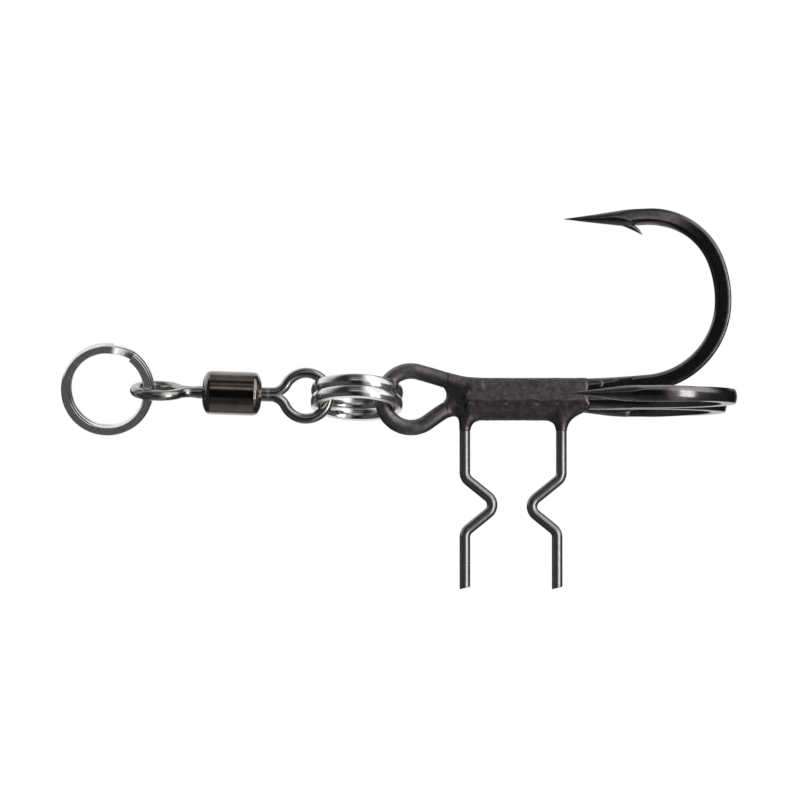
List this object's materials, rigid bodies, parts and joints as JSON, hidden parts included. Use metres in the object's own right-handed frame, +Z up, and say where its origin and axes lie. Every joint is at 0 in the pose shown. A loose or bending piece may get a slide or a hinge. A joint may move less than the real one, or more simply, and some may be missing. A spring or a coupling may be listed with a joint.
{
  "type": "treble hook",
  "caption": "Stinger rig: a brazed treble hook with two kinked bait spikes, hung from a split ring, a rolling barrel swivel and a line split ring.",
  "frame": {"origin": "centre of the line split ring, where the rig is tied on", "axes": "+Z up along the swivel chain, the rig hanging below the origin; +X towards the upper hook, -X along the bait spikes, the two side hooks towards +Y and -Y"},
  "size_m": [0.0365, 0.0344, 0.0617],
  "materials": {
    "ring_steel": "bright stainless steel, flat faces finely brushed",
    "swivel_nickel": "glossy black nickel",
    "hook_nickel": "satin black nickel",
    "spike_nickel": "semi-gloss black nickel",
    "braze": "matte black nickel over uneven braze"
  },
  "bodies": {
    "line_ring": {"line_split_ring": "ring_steel"},
    "line_eye": {"swivel_line_eye": "swivel_nickel"},
    "barrel": {"swivel_barrel": "swivel_nickel"},
    "hook_eye": {"swivel_hook_eye": "swivel_nickel"},
    "hook_ring": {"hook_split_ring": "ring_steel"},
    "treble": {"eyed_double_hook": "hook_nickel", "single_hook": "hook_nickel", "spike_wire": "spike_nickel", "braze": "braze"}
  },
  "joints": [
    {"name": "line_eye_swing", "type": "hinge", "parent": "line_ring", "child": "line_eye", "pos_m": [0, 0, 0], "axis": [0.2247, 0.9734, -0.0436], "range_deg": [-120, 120]},
    {"name": "line_eye_spin", "type": "hinge", "parent": "line_eye", "child": "barrel", "pos_m": [0, 0, -0.01145], "axis": [0, 0, 1], "continuous": true},
    {"name": "hook_eye_spin", "type": "hinge", "parent": "barrel", "child": "hook_eye", "pos_m": [0, 0, -0.01145], "axis": [0, 0, 1], "continuous": true},
    {"name": "hook_ring_swing", "type": "hinge", "parent": "hook_eye", "child": "hook_ring", "pos_m": [0, 0, -0.02295], "axis": [-0.9715, -0.2368, 0], "range_deg": [-90, 90]},
    {"name": "treble_swing", "type": "hinge", "parent": "hook_ring", "child": "treble", "pos_m": [0, 0, -0.02793], "axis": [0, 1, 0], "range_deg": [-75, 75]}
  ]
}
